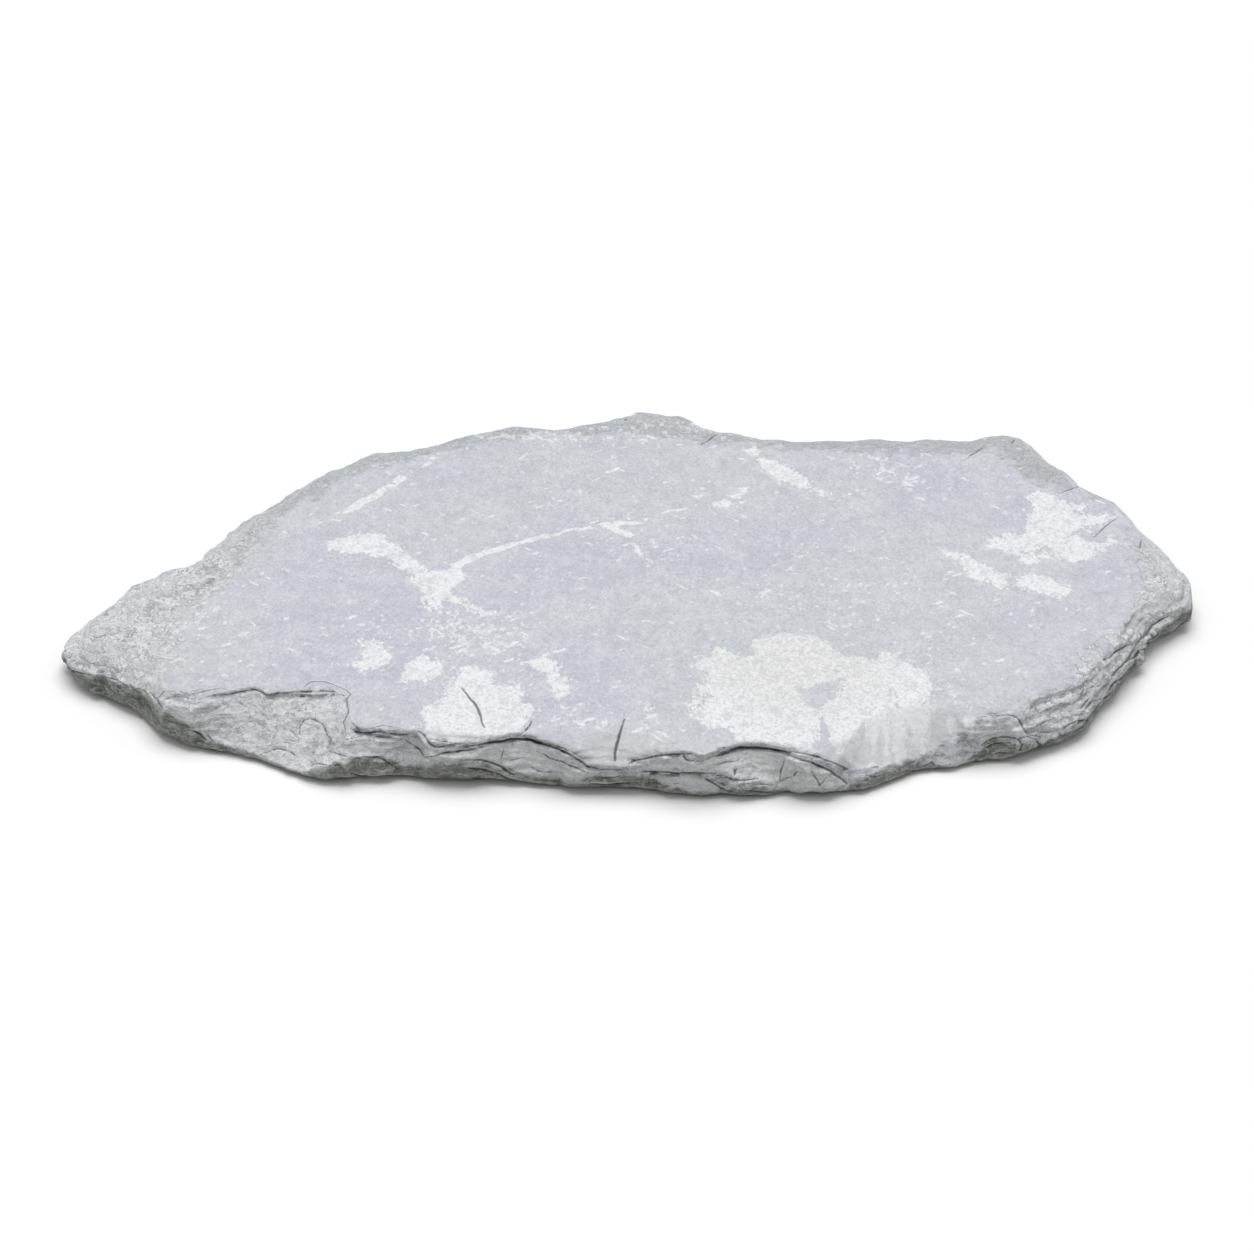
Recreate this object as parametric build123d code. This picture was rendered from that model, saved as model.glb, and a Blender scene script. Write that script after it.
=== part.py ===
"""Irregular slate flagstone, one solid, in millimetres.

The stone is a stack of thin cleavage beds. Each bed breaks along its own ragged line, so the edge is a run of
small ledges. The riven upper face is nearly level in the middle and falls away to a broken rim all round. Along
the front edge thin plates have come off the upper face and left stepped shelves. The underside is a flat cleavage
face that the stone rests on.

+X runs along the stone, +Y to its back and +Z up. The origin is at the bottom centre of its bounding box.
"""

from build123d import *
import math
import os

# Sizes over the widest outline, and over the highest of the riven face
LENGTH = 608.0
DEPTH = 426.0
THICKNESS = 27.0

# Cleavage beds from the underside up: thickness, how far the bed stands in from the outline, how ragged it is,
# and its share of the undercut. The riven face is cut into the last one.
BEDS = [
    (3.5, 2.0, 3.0, 1.0),
    (2.5, 1.0, 2.5, 0.6),
    (2.2, 0.0, 2.5, 0.25),
    (2.8, 1.5, 3.0, 0.05),
    (2.0, 0.5, 2.5, 0.0),
    (2.6, 1.6, 3.0, 0.0),
    (2.2, 0.8, 3.0, 0.0),
    (2.4, 2.2, 3.0, 0.0),
    (2.0, 1.4, 3.0, 0.0),
    (2.4, 2.0, 3.0, 0.0),
    (2.4, 1.5, 2.5, 0.0),
]
FACET = 11.0  # length of one broken facet along a bed's edge
SPINE = 170.0  # half the length of the line on the X axis toward which the beds stand in
FALL_CURVE = 1.7  # how much steeper the falling strip gets toward the rim
BREAK_SHARE = 0.6  # share of a bed's step in the falling strip that is a sloping break, the rest is level

# Stations round the widest outline, from the left tip by way of the front: x and y, the height of the upper face at
# the rim, the width of the strip over which that face falls to it, and how far the lowest bed is undercut.
# They are drawn on a blank of this size.
BLANK_LENGTH = 608.0
BLANK_DEPTH = 426.0
STATIONS = [
    (-303, -62, 13, 40, 5),
    (-303, -76, 13, 36, 3),
    (-298, -86, 14, 30, 3),
    (-288, -99, 15, 26, 2),
    (-277, -108, 16, 24, 2),
    (-265, -119, 17, 22, 2),
    (-255, -132, 18, 16, 2),
    (-247, -144, 17, 14, 2),
    (-237, -154, 15, 14, 2),
    (-224, -162, 11, 20, 2),
    (-209, -167, 9, 26, 2),
    (-194, -173, 8, 34, 2),
    (-180, -182, 7, 40, 2),
    (-164, -192, 8, 44, 2),
    (-147, -195, 12, 28, 2),
    (-129, -192, 13, 16, 2),
    (-115, -191, 12, 14, 2),
    (-97, -194, 21, 9, 2),
    (-81, -194, 22, 8, 2),
    (-65, -195, 22, 8, 2),
    (-49, -199, 22, 8, 2),
    (-35, -201, 21, 10, 2),
    (-23, -201, 17, 18, 2),
    (-9, -202, 14, 24, 2),
    (5, -203, 17, 18, 2),
    (14, -206, 21, 10, 2),
    (29, -211, 22, 8, 2),
    (45, -212, 22, 8, 2),
    (65, -210, 22, 8, 2),
    (85, -208, 21, 10, 2),
    (101, -207, 17, 16, 2),
    (113, -204, 13, 26, 2),
    (126, -199, 12, 30, 2),
    (140, -193, 10, 30, 2),
    (154, -187, 9, 26, 2),
    (166, -181, 8, 24, 2),
    (174, -176, 11, 20, 2),
    (183, -175, 15, 16, 2),
    (196, -170, 14, 16, 2),
    (208, -163, 9, 22, 2),
    (222, -155, 9, 24, 2),
    (231, -146, 12, 20, 2),
    (240, -128, 13, 14, 2),
    (250, -111, 14, 12, 2),
    (259, -94, 13, 12, 2),
    (268, -77, 12, 12, 3),
    (277, -56, 12, 14, 3),
    (291, -38, 13, 14, 3),
    (302, -25, 14, 16, 3),
    (305, -10, 15, 18, 3),
    (305, 6, 16, 22, 5),
    (298, 25, 17, 20, 5),
    (292, 45, 18, 20, 5),
    (283, 65, 18, 18, 5),
    (276, 90, 19, 16, 5),
    (266, 100, 20, 18, 5),
    (257, 113, 20, 18, 5),
    (250, 133, 20, 18, 5),
    (240, 147, 20, 18, 5),
    (233, 167, 20, 18, 5),
    (222, 180, 21, 20, 5),
    (210, 180, 21, 20, 5),
    (199, 175, 20, 20, 5),
    (181, 176, 20, 20, 5),
    (167, 177, 20, 20, 5),
    (157, 173, 20, 20, 5),
    (147, 176, 20, 18, 5),
    (129, 173, 20, 16, 5),
    (107, 173, 20, 16, 5),
    (95, 172, 20, 16, 5),
    (85, 176, 20, 18, 5),
    (73, 176, 20, 20, 5),
    (62, 184, 20, 22, 5),
    (50, 186, 21, 26, 5),
    (40, 195, 21, 30, 5),
    (22, 207, 22, 36, 5),
    (7, 213, 22, 38, 5),
    (-2, 209, 22, 36, 5),
    (-18, 201, 21, 28, 5),
    (-30, 196, 20, 22, 5),
    (-43, 190, 20, 20, 5),
    (-59, 192, 20, 20, 5),
    (-74, 191, 20, 20, 5),
    (-86, 185, 20, 18, 5),
    (-102, 177, 20, 18, 5),
    (-115, 167, 20, 20, 5),
    (-132, 159, 20, 22, 5),
    (-146, 159, 20, 26, 5),
    (-157, 151, 20, 26, 5),
    (-175, 130, 20, 22, 5),
    (-186, 117, 20, 20, 5),
    (-194, 102, 20, 20, 5),
    (-211, 81, 19, 20, 5),
    (-222, 65, 19, 20, 5),
    (-230, 49, 19, 20, 6),
    (-238, 32, 18, 22, 6),
    (-246, 15, 17, 26, 6),
    (-263, 6, 16, 30, 6),
    (-273, -2, 15, 34, 6),
    (-282, -17, 14, 38, 6),
    (-291, -33, 13, 42, 6),
    (-298, -49, 13, 42, 6),
]

# Plates that have flaked off the upper face along the front edge. The first figure is how many beds came off there
# and the second how far each lower one broke in front of the one above. The line is where the uppermost broke; its
# ends lie outside the stone, and the scallops run through it as curves.
FLAKES = {
    "left shelf": (
        1, 0.0, False,
        [(-265, -172), (-247, -146), (-236, -140), (-229, -141), (-223, -146), (-216, -141), (-196, -139),
         (-188, -142), (-170, -137), (-160, -137), (-147, -142), (-142, -154), (-141, -242)],
    ),
    "second shelf": (
        1, 0.0, False,
        [(-142, -242), (-141, -178), (-125, -179), (-117, -181), (-110, -179), (-106, -186), (-101, -193),
         (-99, -242)],
    ),
    "middle scallop": (
        5, 2.4, True,
        [(-103, -242), (-97, -194), (-82, -190), (-67, -186), (-57, -183), (-44, -187), (-35, -194), (-27, -242)],
    ),
    "crest scallop": (
        3, 2.5, True,
        [(-5, -242), (5, -204), (15, -200), (25, -200), (33, -205), (39, -242)],
    ),
    "bow scallop": (
        7, 2.6, True,
        [(27, -242), (34, -208), (43, -199), (53, -193), (63, -192), (75, -195), (92, -205), (105, -242)],
    ),
    "right shelf": (
        1, 0.0, True,
        [(161, -202), (169, -168), (179, -163), (189, -163), (195, -170), (201, -202)],
    ),
    "corner scallop": (
        2, 3.0, True,
        [(251, -142), (243, -101), (249, -91), (257, -84), (267, -82), (301, -98)],
    ),
    "end scallop": (
        2, 3.0, True,
        [(301, -98), (267, -78), (270, -66), (278, -54), (291, -49), (331, -62)],
    ),
}

# The riven upper face is drawn through heights on a square grid that stands out past the stone.
GRID = 16.0
MARGIN = 14.0
SWELL = 0.5  # half the rise and fall of the face
COVER = 1.5  # how much higher than the riven face the last bed is drawn before that face is cut
FIT = 0.002  # how closely the riven face keeps to its heights


def stretched(x, y):
    """A point of the blank, on the stone's own length and depth."""
    return x * LENGTH / BLANK_LENGTH, y * DEPTH / BLANK_DEPTH


OUTLINE = Spline([Vector(*stretched(row[0], row[1])) for row in STATIONS], periodic=True)
MARKS = [OUTLINE.param_at_point(Vector(*stretched(row[0], row[1]))) for row in STATIONS]
BED_SCALE = THICKNESS / sum(row[0] for row in BEDS)


def station_values(share):
    """Rim height, fall width and undercut at a share of the outline's length."""
    marks = [0.0] + MARKS[1:] + [1.0]
    rows = STATIONS + STATIONS[:1]
    for start, end, here, there in zip(marks, marks[1:], rows, rows[1:]):
        if start <= share <= end:
            t = (share - start) / (end - start)
            return [p + t * (q - p) for p, q in zip(here[2:], there[2:])]


def inward(x, y):
    """The direction from a point of the outline toward the spine."""
    spine_x = max(-SPINE, min(SPINE, x))
    away = math.hypot(spine_x - x, y)
    return (spine_x - x) / away, -y / away


def ragged(share, bed):
    """A figure from 0 to 1 that runs unevenly round the outline, and differently in each bed."""
    turn = 2 * math.pi * share
    waves = (
        math.sin(17 * turn + 2.1 * bed)
        + 0.8 * math.sin(29 * turn + 4.7 * bed + 1.0)
        + 0.6 * math.sin(43 * turn + 1.3 * bed + 2.0)
    )
    return 0.5 + waves / 4.8


def fall_setback(height, rim, run):
    """How far in from the outline the falling strip reaches a height."""
    rim *= BED_SCALE
    if height <= rim:
        return 0.0
    still_to_rise = max(0.0, THICKNESS - height) / (THICKNESS - rim)
    return run * (1 - still_to_rise ** (1 / FALL_CURVE))


def bed_edge(bed, floor, level, height):
    """The broken edge of one bed at a level, set back as the falling strip is at a height."""
    _, inset, roughness, undercut_share = BEDS[bed]
    count = round(OUTLINE.length / FACET)
    corners = []
    for i in range(count):
        share = ((i + 0.37 * bed) / count) % 1.0
        point = OUTLINE.position_at(share)
        in_x, in_y = inward(point.X, point.Y)
        rim, run, undercut = station_values(share)
        back = inset + roughness * ragged(share, bed) + undercut_share * undercut
        back += fall_setback(height, rim, run)
        corners.append((point.X + in_x * back, point.Y + in_y * back))
    return Pos(0, 0, level) * Polygon(*corners, align=None)


def break_area(line, curved, forward):
    """The area that broke away in front of a line, moved outward from it."""
    points = []
    for x, y in line:
        x, y = stretched(x, y)
        in_x, in_y = inward(x, y)
        points.append(Vector(x - in_x * forward, y - in_y * forward))
    if curved:
        edges = [Spline(points), Line(points[-1], points[0])]
    else:
        edges = [Polyline(*points, close=True)]
    return make_face(edges)


def bed(number, floor, height, cover):
    """One bed, less the plates that have flaked off it, drawn higher by the cover."""
    middle = floor + height / 2
    reach = BREAK_SHARE * height / 2
    lower = bed_edge(number, floor, floor, middle - reach)
    upper = bed_edge(number, floor, floor + height + cover, middle + reach)
    slab = loft([lower, upper], ruled=True)
    below_top = len(BEDS) - 1 - number
    for count, step, curved, line in FLAKES.values():
        if below_top < count:
            slab -= Pos(0, 0, floor) * extrude(break_area(line, curved, below_top * step), height + cover)
    return slab


def swell(x, y):
    """The slow rise and fall of the riven face, from about -1 to 1."""
    return (math.sin(x / 41 + y / 57) + 0.6 * math.sin(y / 27 - x / 63) + 0.4 * math.sin(x / 23 + y / 31)) / 2


def riven_space():
    """Everything over the riven face."""
    half_x = LENGTH / 2 + MARGIN
    half_y = DEPTH / 2 + MARGIN
    columns = round(2 * half_x / GRID)
    rows = round(2 * half_y / GRID)
    heights = []
    for i in range(columns + 1):
        x = -half_x + 2 * half_x * i / columns
        line = [-half_y + 2 * half_y * j / rows for j in range(rows + 1)]
        heights.append([Vector(x, y, THICKNESS - SWELL * (1 - swell(x, y))) for y in line])
    face = Face.make_surface_from_array_of_points(heights, tol=FIT)
    return extrude(face, THICKNESS, dir=(0, 0, 1))


def flagstone():
    """All the beds on each other, with the riven face cut into the last."""
    floor = 0.0
    stone = None
    for number, row in enumerate(BEDS):
        height = row[0] * BED_SCALE
        if number == len(BEDS) - 1:
            slab = bed(number, floor, height, COVER) - riven_space()
        else:
            slab = bed(number, floor, height, 0.0)
        stone = slab if stone is None else stone + slab
        floor += height
    box = stone.bounding_box()
    return Pos(-box.center().X, -box.center().Y, -box.min.Z) * stone


stone = flagstone()
stone.label = "flagstone"
os.makedirs("parts", exist_ok=True)
export_step(stone, "parts/flagstone.step")
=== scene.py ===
"""A slate flagstone on a pale floor: the looks of the CAD part."""
import math

import bpy
import numpy as np
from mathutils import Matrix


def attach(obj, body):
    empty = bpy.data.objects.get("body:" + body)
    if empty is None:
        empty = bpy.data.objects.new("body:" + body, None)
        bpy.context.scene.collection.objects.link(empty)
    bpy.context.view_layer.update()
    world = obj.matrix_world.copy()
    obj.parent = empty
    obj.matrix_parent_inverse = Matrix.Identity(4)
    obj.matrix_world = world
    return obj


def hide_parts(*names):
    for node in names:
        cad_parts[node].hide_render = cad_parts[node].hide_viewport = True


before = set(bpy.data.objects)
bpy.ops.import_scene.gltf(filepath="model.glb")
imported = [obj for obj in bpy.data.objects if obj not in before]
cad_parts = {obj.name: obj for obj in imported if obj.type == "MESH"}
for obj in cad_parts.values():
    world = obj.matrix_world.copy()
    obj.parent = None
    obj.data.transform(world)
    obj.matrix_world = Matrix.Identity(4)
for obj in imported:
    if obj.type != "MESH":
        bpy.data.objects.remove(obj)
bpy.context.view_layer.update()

import openvdb
from mathutils import Vector

MM = 0.001
END_REACH, END_RUN = 5.0, 11.0  # how far a broken face goes past the ends of its lines, and its fading there, mm
SLIT_RUN = 8.0  # the fading of a slit toward the ends of its face, mm
SIDE_MARGIN, DEPTH_MARGIN = 3.0, 12.0  # room round a broken face for its wandering edges, along X and Y, mm
CORNER_HEIGHT, CORNER_FALL = 20.0, 4.0  # under that height a face goes on falling past its lower line, at that slope
VOXEL = 1.0  # mm
BAND, FOOT_BAND = 3.4, 6.0  # how far from the surface the field is worked on, and that at the foot, mm
FIN_BEFORE, FIN_AFTER = 0.7, 0.8  # slivers that stand out further than this are trimmed, mm
WORN_LEAST, WORN_MOST = -1.3, 3.5  # limits of what the relief takes off, mm
UNDERCUT, UNDERCUT_HEIGHT = 3.4, 3.2  # how far the foot of the edge stands back, and below what height, mm
CRACK_DEPTH, WEDGE_DEPTH, WEDGE_CURVE = 1.4, 0.5, 1.4  # mm, mm, and how a wedge widens
FAR = 60.0  # stands for any distance to a mark that is greater, mm
TRIANGLES = 195000
TOP = 27.0  # height of the riven face, mm
SKY = 0.44  # light from all round, as a share of the whole on a level surface
LAMP_HEIGHT = 70.0  # degrees over the floor, behind the stone
LAMP_WIDTH = 55.0  # degrees
EYE = np.array([-3.6, -1849.35, 971.8], np.float32)  # the point that the marks are drawn from, mm
TARGET, ELEVATION, DISTANCE = (-0.0036, -0.02165, 0.0), 28.0, 2.07  # what the camera looks at, m, degrees and m
LENS, SENSOR = 110.0, 36.0  # mm
FLOOR_HALF = 6.0  # m

# ---- Marks, in mm on a level plan at the height of the riven face, each drawn where it is seen from that point ----
# An outline or a line is x, y, x, y and so on
SMOOTH_FACE = (
    -244, -142, -234, -112, -239, -62, -214, -17, -199, 43, -189, 58, -159, 108, -109, 138, -59, 158, 1, 163, 41, 148,
    81, 143, 121, 138, 171, 133, 206, 138, 223, 98, 251, 88, 269, 58, 273, 18, 271, -22, 263, -62, 241, -92,
    215, -132, 178, -160, 160, -196, 146, -222, 112, -230, 90, -216, 61, -196, 21, -200, -19, -204, -59, -182,
    -104, -187, -142, -174, -149, -140,
)
# The large patch at the front right, the patches left of the middle, the bone-shaped vein, the long splinter at the
# back with a small one, and the patch at the right
PALE_AREAS = [
    (28, -170, 32, -160, 32, -152, 32, -138, 38, -122, 32, -118, 31, -111, 38, -103, 41, -96, 49, -94, 52, -102,
     55, -111, 58, -106, 66, -102, 62, -96, 62, -88, 66, -83, 75, -81, 80, -78, 87, -81, 100, -83, 101, -96,
     109, -102, 119, -104, 125, -110, 129, -102, 135, -104, 140, -112, 149, -118, 150, -132, 151, -142, 149, -154,
     148, -172, 147, -186, 145, -202, 139, -214, 131, -218, 111, -220, 103, -210, 91, -206, 81, -202, 71, -197,
     51, -194, 49, -182, 41, -182, 34, -176),
    (-88, -117, -79, -114, -71, -126, -69, -135, -61, -134, -57, -147, -52, -162, -53, -180, -59, -188, -74, -194,
     -89, -194, -104, -192, -107, -177, -106, -162, -97, -152, -96, -142, -92, -130),
    (-57, -112, -44, -105, -39, -117, -32, -142, -35, -160, -41, -152, -44, -130, -51, -120),
    (-121, -114, -112, -106, -104, -102, -97, -117, -103, -132, -110, -130, -117, -135),
    (-147, -86, -134, -86, -127, -102, -124, -112, -139, -120, -149, -114, -139, -107, -140, -96),
    (-171, 20, -167, 26, -159, 34, -153, 37, -141, 37, -135, 32, -127, 22, -122, 10, -117, 0, -109, -8, -99, -4,
     -89, -8, -92, -18, -97, -26, -98, -32, -89, -42, -75, -56, -79, -60, -89, -50, -99, -39, -105, -52, -109, -60,
     -111, -52, -118, -43, -112, -34, -115, -26, -119, -16, -121, -8, -129, -1, -135, 8, -145, 14, -159, 14),
    (64, 148, 71, 138, 72, 124, 81, 106, 91, 100, 101, 88, 111, 81, 107, 90, 101, 106, 89, 120, 81, 132, 71, 146),
    (45, 67, 56, 70, 55, 80, 47, 79),
    (227, 90, 221, 80, 222, 64, 217, 48, 214, 34, 203, 36, 198, 32, 197, 24, 188, 19, 203, 16, 209, 8, 214, -1,
     227, 6, 239, 2, 247, 12, 255, 18, 267, 22, 265, 32, 253, 26, 247, 28, 243, 38, 249, 47, 259, 48, 271, 62,
     251, 58, 247, 66, 251, 74, 241, 76, 237, 86),
    (173, 18, 181, 10, 191, -2, 199, -12, 201, -22, 199, -32, 191, -29, 183, -16, 179, 0, 171, 12),
    (205, -14, 215, -10, 225, -18, 233, -32, 223, -38, 213, -30, 206, -24),
]
# Gaps in those
HOLES = [
    (84, -140, 91, -136, 96, -140, 95, -134, 101, -131, 102, -122, 105, -114, 107, -128, 107, -134, 103, -146,
     100, -154, 95, -162, 87, -156, 84, -150),
    (213, 16, 225, 24, 227, 18, 217, 12),
    (217, 6, 229, 12, 228, 16, 219, 13),
    (34, -132, 38, -134, 38, -150, 34, -149),
    (131, -138, 134, -139, 134, -146, 131, -145),
    (133, -152, 136, -153, 136, -159, 133, -158),
]
# Pale veins: points, and the half width at the start and at the end
VEINS = [
    ((-97, -2, -89, 8, -79, 16, -69, 21, -59, 28, -49, 34, -39, 39, -29, 43, -21, 45), 3.4, 2.0),
    ((-21, 45, -9, 50, 1, 49, 11, 58, 17, 64, 27, 66, 35, 74), 3.0, 0.8),
    ((-14, 48, -4, 38, -1, 26, 4, 8), 3.2, 1.2),
    ((-159, 65, -149, 80, -139, 94, -129, 110), 3.4, 3.0),
    ((-119, 122, -113, 138, -109, 148), 2.0, 1.0),
    ((-191, 47, -179, 48, -169, 53, -160, 54, -161, 60), 1.2, 1.0),
    ((-65, 128, -60, 142), 1.2, 0.6),
    ((-40, 78, -29, 94, -19, 108, -9, 122), 1.0, 1.4),
    ((-101, 47, -93, 58), 1.2, 1.0),
    ((-243, -24, -231, -20, -219, -16), 2.0, 1.0),
    ((101, -65, 111, -76), 1.6, 0.8),
    ((227, -50, 232, -60), 1.6, 0.8),
    ((239, -68, 243, -74), 1.2, 0.8),
    ((36, 82, 45, 90, 53, 100), 1.4, 1.0),
    ((57, 82, 63, 96), 2.4, 1.8),
    ((61, 82, 68, 80), 1.2, 0.6),
    ((-151, -64, -141, -57), 1.2, 0.8),
    ((32, -184, 40, -191), 2.0, 1.6),
    ((137, 104, 143, 122, 141, 136), 2.4, 1.6),
    ((154, 98, 153, 116), 1.8, 1.0),
    ((159, -172, 158, -194), 3.0, 1.6),
    ((168, -169, 167, -190), 3.2, 1.6),
    ((177, -170, 176, -184), 2.6, 1.2),
]
# Soft areas with many small pale flecks: centre, half lengths and strength
FLECKS = [
    (-84, -80, 40, 24, 0.9), (1, 28, 16, 26, 0.5), (141, 118, 24, 24, 0.6), (-129, -72, 30, 20, 0.5),
    (-249, -62, 40, 50, 0.5), (31, 173, 60, 16, 0.7), (-59, 163, 50, 12, 0.8), (91, -42, 60, 40, 0.25),
    (151, -62, 60, 40, 0.2), (141, -152, 30, 40, 0.6), (-19, -172, 40, 18, 0.5),
]
# Cracks: points and width
CRACKS = [
    ((-88, -138, -79, -160, -75, -180), 0.8),
    ((-51, -173, -54, -182, -57, -187), 0.7),
    ((-5, -171, -8, -194, -10, -214), 0.9),
    ((49, 166, 39, 150), 0.5),
    ((-3, 188, -6, 183), 0.5),
    ((221, 159, 218, 152), 0.5),
    ((203, 150, 189, 130), 0.5),
    ((253, 98, 238, 86), 0.5),
    ((269, 57, 261, 46, 253, 32), 0.5),
    ((279, 30, 276, 18), 0.5),
]
# Seams along the edges of the plates and across the broken faces, under their half widths: thin grooves, darkened
# with painted shadow and edged with a painted highlight
SEAMS = {
    0.3: [(-200, -154, -194, -161), (-206, -154, -212, -161, -216, -166), (-195, -173, -190, -174, -185, -179,
     -181, -184), (-180, -200, -176, -194, -171, -196), (-176, -180, -171, -183, -167, -191), (-212, -174, -207, -169,
     -202, -170), (-66, -211, -65, -200)],
    0.35: [(-136, -181, -131, -181, -126, -177, -122, -179, -117, -180)],
    0.4: [(-240, -151, -233, -148, -228, -148, -224, -150, -220, -150), (-242, -150, -239, -142, -231, -142,
     -226, -146, -221, -143, -215, -140, -210, -139, -206, -141), (-202, -139, -196, -139, -192, -141, -188, -144,
     -185, -146), (-169, -139, -165, -132, -158, -132, -151, -137, -146, -141, -144, -145), (-144, -145, -146, -151,
     -144, -164, -146, -174, -144, -182), (-167, -187, -167, -176, -165, -171, -161, -171, -157, -175, -154, -183,
     -151, -192, -152, -200), (-142, -174, -137, -183), (-146, -191, -142, -191, -136, -188), (-47, -193, -42, -196,
     -36, -200, -30, -205, -25, -211), (33, -214, 38, -209, 43, -207, 50, -202), (71, -232, 72, -222, 74, -212),
     (87, -223, 89, -231, 90, -237, 92, -234, 94, -229), (10, -236, 13, -239, 18, -236, 22, -235), (203, -177,
     207, -173, 211, -171), (222, -143, 227, -145, 229, -141, 235, -137), (265, -78, 266, -85, 270, -80), (-249, -102,
     -245, -103, -241, -101)],
    0.45: [(-64, -212, -59, -211, -54, -209)],
    0.5: [(-220, -150, -217, -148, -213, -146, -206, -146, -201, -142, -193, -141, -189, -143), (-151, -203,
     -145, -207, -141, -209), (-139, -225, -133, -228, -127, -225), (-159, -218, -156, -215, -150, -218, -145, -216),
     (-114, -192, -109, -197, -106, -202, -104, -208), (-102, -191, -97, -193, -92, -194, -87, -196, -82, -197),
     (-51, -219, -46, -223, -41, -224, -36, -224), (-22, -218, -17, -222, -11, -221, -7, -222), (-18, -229, -11, -229,
     -5, -227), (-22, -235, -12, -236, -3, -234), (15, -220, 19, -220, 22, -221), (40, -201, 43, -200, 47, -200),
     (41, -217, 45, -214, 50, -214, 52, -211), (71, -234, 74, -230, 78, -228, 80, -223), (173, -170, 177, -168,
     182, -168, 186, -167, 190, -167, 193, -171, 194, -177, 195, -184, 197, -187), (191, -191, 193, -197, 191, -203),
     (197, -190, 200, -193, 201, -197, 199, -202), (174, -200, 179, -196, 184, -194, 189, -196), (176, -208,
     181, -204, 186, -206), (198, -183, 202, -184, 206, -185, 210, -183), (228, -160, 232, -153, 236, -151,
     240, -148), (140, -220, 145, -216, 147, -213, 148, -217, 154, -218, 156, -215), (108, -228, 113, -227, 118, -229,
     122, -226), (242, -141, 245, -134, 247, -131, 250, -127), (234, -138, 238, -136), (235, -160, 238, -154,
     242, -149, 245, -143), (-284, -82, -281, -84, -275, -81), (-274, -125, -269, -128, -263, -132, -257, -138),
     (-254, -139, -251, -140, -247, -145), (-245, -145, -242, -151, -239, -159), (-213, -186, -210, -193,
     -208, -194)],
    0.6: [(-185, -207, -180, -203, -176, -201, -170, -204, -166, -210), (-49, -203, -44, -207, -41, -211, -36, -214,
     -31, -218, -26, -222, -22, -225), (24, -207, 26, -212, 30, -213, 34, -212), (49, -227, 50, -221, 52, -220),
     (54, -235, 59, -236, 64, -236, 69, -237), (35, -230, 39, -236, 43, -240, 46, -243), (54, -242, 61, -243,
     68, -244), (214, -182, 217, -177, 222, -173, 228, -172), (225, -161, 228, -155, 231, -149), (117, -220,
     120, -218), (242, -110, 246, -106, 251, -98, 254, -95, 257, -92, 262, -91), (262, -91, 257, -103, 255, -109,
     250, -117, 245, -126), (-298, -92, -295, -100)],
    0.7: [(-186, -146, -180, -144, -173, -143, -165, -143, -159, -142, -152, -143, -147, -147), (-140, -212,
     -133, -209, -126, -209, -119, -217, -116, -221), (-142, -181, -138, -184, -134, -185, -127, -184, -121, -186,
     -117, -187, -113, -186, -109, -184), (-108, -183, -105, -188, -102, -196, -99, -199, -96, -199, -91, -197,
     -87, -199, -82, -200), (-81, -220, -73, -222, -66, -226, -61, -231, -56, -233), (38, -227, 43, -228, 48, -231,
     53, -232, 57, -231, 62, -229), (172, -198, 175, -194, 178, -191, 182, -189, 187, -189, 191, -191, 194, -189,
     199, -188, 203, -189), (262, -90, 266, -84, 270, -77, 273, -70, 277, -65, 281, -61, 284, -60), (-223, -182,
     -220, -183, -217, -186, -213, -192)],
    0.8: [(-144, -230, -134, -230, -124, -228, -115, -227), (-103, -209, -98, -208, -94, -205, -89, -204, -84, -203,
     -79, -201, -74, -199), (-2, -224, 3, -224, 8, -223, 15, -224, 22, -225, 30, -224, 35, -225, 40, -225), (77, -203,
     82, -205, 87, -207, 92, -210, 96, -213, 101, -217, 105, -222), (264, -93, 269, -90, 274, -86, 279, -85, 283, -80,
     287, -71, 291, -66), (263, -98, 268, -96, 273, -93), (255, -109, 259, -106, 262, -98), (-290, -120, -285, -122,
     -279, -125)],
    0.9: [(-83, -198, -77, -197, -72, -195, -67, -194, -62, -191, -57, -191, -52, -192, -47, -195, -42, -198,
     -37, -202, -32, -207, -27, -213, -22, -220), (-86, -212, -76, -212, -70, -215, -65, -219, -62, -224, -58, -228),
     (-3, -215, 2, -212, 7, -210, 12, -208, 17, -207, 23, -206, 29, -206)],
    1.0: [(48, -202, 52, -200, 57, -200, 62, -200, 67, -201, 72, -203, 77, -205), (77, -208, 82, -212, 87, -214,
     91, -218, 96, -223, 101, -230, 104, -235), (281, -82, 285, -76, 289, -71)],
}
SEAM_LINES = [(line, width) for width, lines in SEAMS.items() for line in lines]
# Grey wedges in the large patch: the point and the middle of the foot, and the half width of the foot
WEDGES = [
    ((95, -163, 96, -214), 6.5), ((88, -178, 91, -200), 2.5), ((114, -166, 113, -214), 5.0),
    ((124, -174, 121, -214), 4.0), ((127, -166, 128, -220), 1.6), ((136, -173, 139, -220), 5.5),
    ((149, -168, 151, -216), 6.0), ((163, -170, 163, -206), 3.0), ((172, -168, 172, -196), 2.5),
]

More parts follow.
